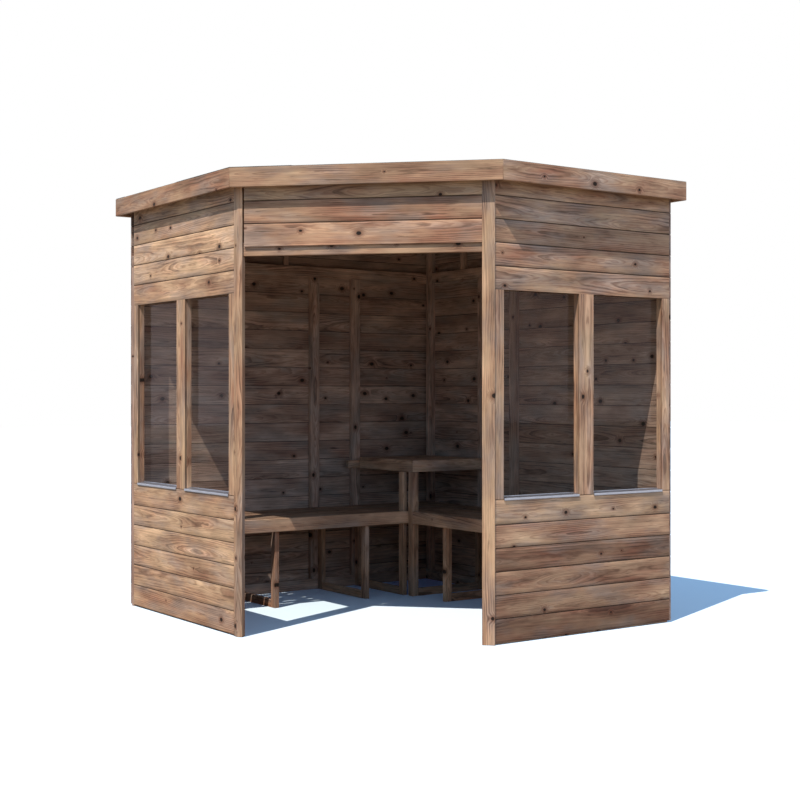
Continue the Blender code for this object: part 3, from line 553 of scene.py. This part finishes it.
posts = {"front_left_post": (0.28, 0.94), "front_right_post": (0.30, 0.92)}
for count, (node, tone) in enumerate(posts.items()):
    shapedTimber(node, up, shaped["postSeed"] + count, tone)
fascias = {"left_fascia": (north, (0.48, 0.74)), "front_fascia": (doorAlong, (0.36, 0.82)),
           "right_fascia": (east, (0.48, 0.96)), "back_right_fascia": (north, (0.4, 0.9)),
           "back_left_fascia": (east, (0.4, 0.9))}
for count, (node, (direction, tone)) in enumerate(fascias.items()):
    shapedTimber(node, direction, shaped["fasciaSeed"] + count, tone)


# roof deck: boards side by side under the felt, with a V at each joint underneath
# the deck's tone is darker, as painted shade on its underside under the roof
deck = {"cover": 0.112, "gap": 0.0003, "narrowest": 0.005, "joint": 0.003, "jointDepth": 0.0035,
        "tone": (0.5, 0.5), "seed": 401}


def deckBoards():
    rng = np.random.default_rng(deck["seed"])
    outline = footprint("roofing_felt")
    edge = pointsOf("roof_deck")[:, :2]
    low, high = span("roof_deck", up)
    for direction in (-east[:2], -north[:2], east[:2], north[:2], doorOut[:2]):
        outline = clipped(outline, direction, (edge @ direction).max())
    boards = []
    x = outline[:, 0].min()
    while x < outline[:, 0].max() - deck["narrowest"]:
        strip = clipped(clipped(outline, -east[:2], -x), east[:2], x + deck["cover"] - deck["gap"])
        middle = (strip[:, 0].min() + strip[:, 0].max()) / 2
        narrow = strip.copy()
        narrow[:, 0] += np.clip(middle - narrow[:, 0], -deck["joint"], deck["joint"])
        heights = (low, low + deck["jointDepth"], high)
        rings = np.stack([np.column_stack((ring, np.full(len(ring), z)))
                          for ring, z in zip((narrow, strip, strip), heights)])
        turning = np.cross(strip[1] - strip[0], strip[2] - strip[1])
        points, faces = ringStack(rings, turning)
        boards.append({"points": points, "faces": faces, "grime": np.zeros(len(faces)),
                       **growth(points, 1, rng, deck["tone"])})
        x += deck["cover"]
    makePiece("roofDeckBoards", boards, timber, ["roof_deck"])


deckBoards()
print("arbour: roof decked")


# benches: slats and battens, closed frames, aprons, and the corner table
bench = {"slats": 7, "space": 0.012, "thick": 0.020, "battenWidth": 0.028, "gap": 0.0003,
         "frameTimber": 0.044, "frameWidth": 0.028, "ease": 0.0022, "play": 0.001,
         # the slats' tone is darker, as painted shade on the seats under the roof
         "tone": (0.40, 0.98), "slatPaintedShadeTone": (0.5, 0.47), "paintedSunTone": (0.95, 1.0),
         "seed": 501, "frameSeed": 521}


def notched(run, width, hole):
    # a slat's plan, as (along, across), less a hole that is open on its near edge: from e to f
    # along, and as far as h across
    (a, b), (c, d), (e, f, h) = run, width, hole
    if h <= c:
        return [(a, c), (b, c), (b, d), (a, d)]
    if f >= b:
        return [(a, c), (e, c), (e, h), (b, h), (b, d), (a, d)]
    return [(a, c), (e, c), (e, h), (f, h), (f, c), (b, c), (b, d), (a, d)]


def slattedSeat(node, along, back, hole, battens, seed):
    b = bench
    rng = np.random.default_rng(b["seed"] + seed)
    run, (front, rear), (low, high) = span(node, along), span(node, back), span(node, up)
    width = (rear - front - b["space"] * (b["slats"] - 1)) / b["slats"]
    timbers = []
    for count in range(b["slats"]):
        near = front + count * (width + b["space"])
        timbers.append(plank(notched(run, (near, near + width), hole), (high - b["thick"], high),
                             (up, along, back), rng, b["slatPaintedShadeTone"], grain=1))
    for start in battens:
        timbers.append(beam((front, start, low), (rear, start + b["battenWidth"], high - b["thick"]),
                            (back, along, up), rng, b["tone"]))
    makePiece(camel(node), timbers, shelteredShadeTimber, [node], ease=b["ease"])


def benchFrame(node, along, back, seed, tone=bench["tone"], leg=False):
    # two uprights with a rail on the floor and one under the slats between them; the table's leg
    # is as wide as its node, and what is under the slats stays a third of the play below them
    b = bench
    rng = np.random.default_rng(b["frameSeed"] + seed)
    (front, rear), (low, high), sides = span(node, back), span(node, up), span(node, along)
    seatLow = span("left_seat", up)[1] - b["thick"] - b["play"] / 3
    t, axes = b["frameTimber"], (up, along, back)
    narrow = (sides[0], sides[0] + b["frameWidth"])
    frontSides = sides if leg else narrow
    timbers = [beam((low, frontSides[0], front), (high, frontSides[1], front + t), axes, rng, tone),
               beam((low, narrow[0], rear - t), (seatLow, narrow[1], rear), axes, rng, tone)]
    for railLow in (low, seatLow - t):
        timbers.append(beam((front + t, narrow[0], railLow), (rear - t, narrow[1], railLow + t),
                            (back, along, up), rng, tone))
    makePiece(camel(node), timbers, shelteredShadeTimber, [node], ease=b["ease"])


# the first left frame is painted redder than the rest, as painted sunlight where the sun falls on it
leftFrames = [f"left_seat_frame_{i}" for i in (1, 2, 3)]
rightFrames = [f"right_seat_frame_{i}" for i in (1, 2)]
for count, node in enumerate(leftFrames):
    benchFrame(node, east, north, count, bench["tone" if count else "paintedSunTone"])
for count, node in enumerate(rightFrames):
    benchFrame(node, north, east, seed=5 + count)
benchFrame("table_leg_frame", north, east, seed=8, leg=True)

# the slats are notched round the third left frame's upright and end at the table's leg
play, gap = bench["play"], bench["gap"]
(thirdStart, thirdEnd), thirdFront = span("left_seat_frame_3", east), span("left_seat_frame_3", north)[0]
leftHole = (thirdStart - play, thirdEnd + play, thirdFront + bench["frameTimber"] + play)
leftStart, leftEnd = span("left_seat", east)
leftBattens = [leftStart, leftEnd - bench["battenWidth"]]
leftBattens += [span(node, east)[1] + gap for node in leftFrames[:2]]
slattedSeat("left_seat", east, north, leftHole, leftBattens, 0)
legStart, legFront = span("table_leg_frame", north)[0], span("table_leg_frame", east)[0]
rightHole = (legStart - play, math.inf, legFront + bench["frameTimber"] + play)
rightBattens = [span("right_seat", north)[0]] + [span(node, north)[1] + gap for node in rightFrames]
slattedSeat("right_seat", north, east, rightHole, rightBattens, 1)
squared("left_apron", east, 40, "bench", framing["benchTone"])
squared("right_apron", north, 41, "bench", framing["benchTone"])

# the table's rims meet in a mitre, with boards, two side ledgers and a longer one on the wall behind
table = {"boards": 5, "space": 0.003, "thick": 0.020, "below": 0.0015, "rim": 0.020, "gap": 0.0003,
         "ledger": (0.028, 0.044), "tone": (0.45, 0.85), "ease": 0.002, "seed": 601}


def cornerTable():
    t = table
    rng = np.random.default_rng(t["seed"])
    (lap, x1), (y0, y1), (z0, z1) = (span("table_top", axis) for axis in (east, north, up))
    x0 = span("table_leg_frame", east)[0]
    rim, space, gap, tone = (t[key] for key in ("rim", "space", "gap", "tone"))
    width, height = t["ledger"]
    low, stop = z1 - t["thick"], y1 - width
    timbers = []
    for near, start, end, axes in ((x0, y0, stop, (north, east, up)), (y0, x0, x1, (east, north, up))):
        section = ((near, z0), (near + rim, z0), (near + rim, z1), (near, z1))
        mitre = [start + (depth - near) + gap for depth, _ in section]
        timbers.append(plank(section, (mitre, end), axes, rng, tone))
    for start in (x0 + rim + gap, x1 - width):
        timbers.append(beam((y0 + rim + gap, start, low - height), (stop - gap, start + width, low),
                            (north, east, up), rng, tone))
    timbers.append(beam((lap, stop, low - height), (x1, y1, low), (east, north, up), rng, tone))
    inside = y0 + rim
    cover = (y1 - inside - space * t["boards"]) / t["boards"]
    for count in range(t["boards"]):
        near = inside + space + count * (cover + space)
        timbers.append(beam((x0 + rim + space, near, low), (x1, near + cover, z1 - t["below"]),
                            (east, north, up), rng, tone))
    makePiece("tableTop", timbers, shelteredShadeTimber, ["table_top"], ease=t["ease"])


cornerTable()
print("arbour: benches and table in")


# Extruded aluminium drip bar, mill finish gone dull outdoors: pale grey with soft, broad highlights
# and fine lines drawn along it by the die, painted shade on its slope, and dirt with a painted shadow line at
# its lower edge.
dripBar = {
    "colour": "#CED5E6", "dark": "#B2B9CB", "line": 0.0012, "spots": (30.0, 60.0, 60.0),
    "roughness": {"To Min": 0.32, "To Max": 0.54}, "bump": {"Strength": 0.2, "Distance": 0.0003},
    "grimeAndShadeTone": 0.35,
    "hang": 0.007, "nose": 0.0125, "proud": 0.0042, "gap": 0.0003, "edge": 0.0025, "round": 0.0012,
    "rise": 0.0062, "slopeEnd": 0.0040, "upstand": 0.002, "upstandWidth": 0.0034, "upstandEase": 0.0006,
    "under": 0.0013, "edgeDirtAndShadow": 0.85, "slopePaintedShade": 0.4, "seed": 701}


def aluminiumMaterial():
    mat = bpy.data.materials.new("extrudedAluminium")
    mat.use_nodes = True
    tree = mat.node_tree
    shader = tree.nodes["Principled BSDF"]
    shader.inputs["Metallic"].default_value = 1.0
    place = addNode(tree, "Attribute", attribute_name="grain").outputs["Vector"]
    scale = 0.5 / dripBar["line"]
    stretched = addNode(tree, "VectorMath", {0: place, 1: (3.0, scale, scale)}, operation="MULTIPLY")
    lines = addNode(tree, "TexNoise", {"Vector": stretched, "Scale": 1.0, "Detail": 3.0})
    spotsAt = addNode(tree, "VectorMath", {0: place, 1: dripBar["spots"]}, operation="MULTIPLY")
    spots = addNode(tree, "TexNoise", {"Vector": spotsAt, "Scale": 1.0, "Detail": 4.0})
    colour = addNode(tree, "Mix", {0: spots, 6: srgb(dripBar["dark"]), 7: srgb(dripBar["colour"])},
                     data_type="RGBA")
    # grime darkens the bar where its section asks: dirt and a painted shadow line at the lower edge, painted
    # shade on the slope
    grime = addNode(tree, "Attribute", attribute_name="grime").outputs["Fac"]
    tone = addNode(tree, "MapRange", {"Value": grime, "To Min": 1.0, "To Max": dripBar["grimeAndShadeTone"]})
    dulled = addNode(tree, "VectorMath", {0: colour.outputs[2], "Scale": tone}, operation="SCALE")
    tree.links.new(dulled.outputs[0], shader.inputs["Base Color"])
    rough = addNode(tree, "MapRange", {"Value": spots, **dripBar["roughness"]})
    tree.links.new(rough.outputs[0], shader.inputs["Roughness"])
    bump = addNode(tree, "Bump", {"Height": lines, **dripBar["bump"]})
    tree.links.new(bump.outputs[0], shader.inputs["Normal"])
    return mat


aluminium = aluminiumMaterial()


def dripBarPiece(node, outward, along, cladding, seed):
    # the bar's section as (depth, height): a thin nose that hangs over the boards, a slope up to
    # the glass, a small upstand against it, and a flat underside on the sill rail
    d = dripBar
    rng = np.random.default_rng(d["seed"] + seed)
    low, run = span(node, up)[0], span(node, along)
    heel, boards = span(node, -outward)[1], span(cladding, -outward)[0]
    front, bottom, lip = boards - d["proud"], low - d["hang"], boards - d["gap"]
    noseTop, radius = bottom + d["nose"], d["round"]
    curve = [(front + radius + radius * math.cos(a), noseTop - radius + radius * math.sin(a))
             for a in np.radians(np.linspace(180, 90, 5))]
    slopeTop, under = noseTop + d["rise"], low + d["under"]
    top = slopeTop + d["upstand"]
    section = [(front, bottom), (front, bottom + d["edge"])] + curve
    slope = len(section) - 1
    section += [(heel - d["slopeEnd"], slopeTop), (heel - d["upstandWidth"], top),
                (heel - d["upstandEase"], top), (heel, top - d["upstandEase"]),
                (heel, under), (lip, under), (lip, bottom)]
    # the nose's lowest strip is darker with dirt and a painted shadow line, and the slope is darker as
    # painted shade
    dirt = np.zeros(len(section))
    dirt[0], dirt[slope:slope + 3] = d["edgeDirtAndShadow"], d["slopePaintedShade"]
    bar = plank(section, run, (along, -outward, up), rng, (0, 1), steps=4, dirt=dirt)
    makePiece(camel(node), [bar], aluminium, [node], sharp=28)


for count, (wall, (outward, along)) in enumerate(windowWalls.items()):
    for turn, part in enumerate(("front", "rear")):
        dripBarPiece(f"{wall}_{part}_drip_bar", outward, along, wall + "_lower_cladding", 2 * count + turn)


# Clear polished glazing sheet, 3 mm: see-through with a faint green tint, and a mirror at a glance
# by Schlick's law, reflection = straight + (1 - straight)·(1 - cos)^5, counted once, on the way in.
# The mirror's colour is a painted reflection: a dull warm grey, standing for surroundings that the bare stage
# doesn't have to show.
glazing = {"tint": "#FBFDFC", "shine": "#B4A6AC", "straight": 0.04, "roughness": 0.02}


def glassMaterial():
    mat = bpy.data.materials.new("clearSheet")
    mat.use_nodes = True
    tree = mat.node_tree
    tree.nodes.remove(tree.nodes["Principled BSDF"])
    straight = glazing["straight"]
    clear = addNode(tree, "BsdfTransparent", {"Color": srgb(glazing["tint"])})
    mirror = addNode(tree, "BsdfGlossy", {"Color": srgb(glazing["shine"]), "Roughness": glazing["roughness"]})
    glance = addNode(tree, "LayerWeight", {"Blend": 0.5}).outputs["Facing"]
    fifth = addNode(tree, "Math", {0: glance, 1: 5.0}, operation="POWER")
    schlick = addNode(tree, "Math", {0: fifth, 1: 1 - straight, 2: straight}, operation="MULTIPLY_ADD")
    inwards = addNode(tree, "NewGeometry").outputs["Backfacing"]
    front = addNode(tree, "Math", {0: 1.0, 1: inwards}, operation="SUBTRACT")
    share = addNode(tree, "Math", {0: schlick, 1: front}, operation="MULTIPLY")
    both = addNode(tree, "MixShader", {0: share, 1: clear, 2: mirror})
    tree.links.new(both.outputs[0], tree.nodes["Material Output"].inputs["Surface"])
    return mat


glass = glassMaterial()
for node in ("left_glazing", "right_glazing"):
    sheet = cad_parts[node]
    sheet.data.materials.clear()
    sheet.data.materials.append(glass)


# Mineral-surfaced bitumen felt: crushed slate grains bedded in black bitumen, quite rough, laid in
# strips that lap each other
felt = {"grain": 0.0022, "slate": "#5C6163", "dark": "#2C2E30", "clouds": 3.0, "roughness": 0.92,
        "bump": {"Strength": 0.6, "Distance": 0.001}, "layer": 0.0014, "lap": 0.075, "width": 0.80,
        "ease": 0.0004, "seed": 801}


def feltMaterial():
    mat = bpy.data.materials.new("mineralFelt")
    mat.use_nodes = True
    tree = mat.node_tree
    shader = tree.nodes["Principled BSDF"]
    place = addNode(tree, "TexCoord").outputs["Object"]
    chips = addNode(tree, "TexVoronoi", {"Vector": place, "Scale": 1 / felt["grain"]})
    clouds = addNode(tree, "TexNoise", {"Vector": place, "Scale": felt["clouds"], "Detail": 5.0})
    each = addNode(tree, "SeparateColor", {0: chips.outputs["Color"]})
    blend = addNode(tree, "Math", {0: each, 1: clouds}, operation="MULTIPLY")
    share = addNode(tree, "MapRange", {"Value": blend, "From Min": 0.05, "From Max": 0.5})
    colour = addNode(tree, "Mix", {0: share, 6: srgb(felt["dark"]), 7: srgb(felt["slate"])}, data_type="RGBA")
    tree.links.new(colour.outputs[2], shader.inputs["Base Color"])
    bump = addNode(tree, "Bump", {"Height": chips.outputs["Distance"], **felt["bump"]})
    tree.links.new(bump.outputs[0], shader.inputs["Normal"])
    shader.inputs["Roughness"].default_value = felt["roughness"]
    return mat


def feltStrips():
    rng = np.random.default_rng(felt["seed"])
    outline = footprint("roofing_felt")
    low = span("roofing_felt", up)[0]
    strips = []
    y, count = outline[:, 1].min(), 0
    while y < outline[:, 1].max() - felt["lap"]:
        strip = clipped(clipped(outline, -north[:2], -y), north[:2], y + felt["width"])
        level = low + (count % 2) * felt["layer"]
        strips.append(plank(strip, (level, level + felt["layer"]), (up, east, north), rng, (0, 1)))
        y += felt["width"] - felt["lap"]
        count += 1
    makePiece("feltStrips", strips, feltMaterial(), ["roofing_felt"], ease=felt["ease"])


feltStrips()
print("arbour: metal, glass and felt finished")


# The ground is a pale studio floor. The camera sees it almost white, but the light that it sends up
# is a dull brown, as a garden's is. A faint blue glow that only the camera sees deepens its shade: painted
# shade, not a lamp.
ground = {"half": 40.0, "seen": "#E2F1FC", "bounce": "#968878", "haze": (0.0, 0.001, 0.012, 1.0)}


def groundPlane():
    half = ground["half"]
    corners = [(-half, -half, 0), (half, -half, 0), (half, half, 0), (-half, half, 0)]
    mesh = bpy.data.meshes.new("ground")
    mesh.from_pydata(corners, [], [(0, 1, 2, 3)])
    floor = bpy.data.objects.new("ground", mesh)
    bpy.context.scene.collection.objects.link(floor)
    mat = bpy.data.materials.new("paleGround")
    mat.use_nodes = True
    tree = mat.node_tree
    shader = tree.nodes["Principled BSDF"]
    seen = addNode(tree, "LightPath").outputs["Is Camera Ray"]
    colour = addNode(tree, "Mix", {0: seen, 6: srgb(ground["bounce"]), 7: srgb(ground["seen"])},
                     data_type="RGBA")
    tree.links.new(colour.outputs[2], shader.inputs["Base Color"])
    shader.inputs["Emission Color"].default_value = ground["haze"]
    tree.links.new(seen, shader.inputs["Emission Strength"])
    shader.inputs["Roughness"].default_value = 1.0
    shader.inputs["Specular IOR Level"].default_value = 0.0
    mesh.materials.append(mat)


groundPlane()

view = {"place": (-4.292, -6.1455, 1.195), "towards": (0.5674, 0.8234, 0.0), "lens": 62.08,
        "shift": (0.025, -0.008)}
cameraData = bpy.data.cameras.new("camera")
cameraData.sensor_width = 36.0
cameraData.lens = view["lens"]
cameraData.shift_x, cameraData.shift_y = view["shift"]
cameraData.clip_end = 200.0
camera = bpy.data.objects.new("camera", cameraData)
bpy.context.scene.collection.objects.link(camera)
camera.location = view["place"]
camera.rotation_euler = (math.radians(90), 0, math.atan2(-view["towards"][0], view["towards"][1]))
bpy.context.scene.camera = camera

light = {"toSun": (-0.491, -0.208, 0.846), "strength": 4.5, "sunSize": 0.3, "sunColour": "#FFF6EC",
         "sky": "#9CC2E6", "skyStrength": 0.85,
         "toFill": (0.35, -0.88, 0.32), "fillStrength": 0.8, "fillSize": 50.0, "fillColour": "#CFDEFF"}


def sunLamp(name, towards, strength, size, colour):
    # size is the angle that the lamp fills, in degrees
    lamp = bpy.data.lights.new(name, "SUN")
    lamp.energy, lamp.angle, lamp.color = strength, math.radians(size), srgb(colour)[:3]
    holder = bpy.data.objects.new(name, lamp)
    bpy.context.scene.collection.objects.link(holder)
    tx, ty, tz = np.array(towards) / np.linalg.norm(towards)
    holder.rotation_euler = (math.acos(tz), 0, math.atan2(tx, -ty))
    return holder


sunLamp("sun", light["toSun"], light["strength"], light["sunSize"], light["sunColour"])
fill = sunLamp("fill", light["toFill"], light["fillStrength"], light["fillSize"], light["fillColour"])
fill.visible_glossy = False

# the sky is white where it is seen, by the camera or in the glass, and blue where it lights
world = bpy.data.worlds.new("world")
bpy.context.scene.world = world
world.use_nodes = True
tree = world.node_tree
background = tree.nodes["Background"]
path = addNode(tree, "LightPath").outputs
seen = addNode(tree, "Math", {0: path["Is Camera Ray"], 1: path["Is Glossy Ray"]}, operation="MAXIMUM")
sky = addNode(tree, "Mix", {0: seen, 6: srgb(light["sky"]), 7: (1.0, 1.0, 1.0, 1.0)}, data_type="RGBA")
strength = addNode(tree, "MapRange", {"Value": seen, "To Min": light["skyStrength"], "To Max": 1.0})
tree.links.new(sky.outputs[2], background.inputs["Color"])
tree.links.new(strength.outputs[0], background.inputs["Strength"])
bpy.context.scene.view_settings.view_transform = "Standard"
print("arbour: camera and light set")
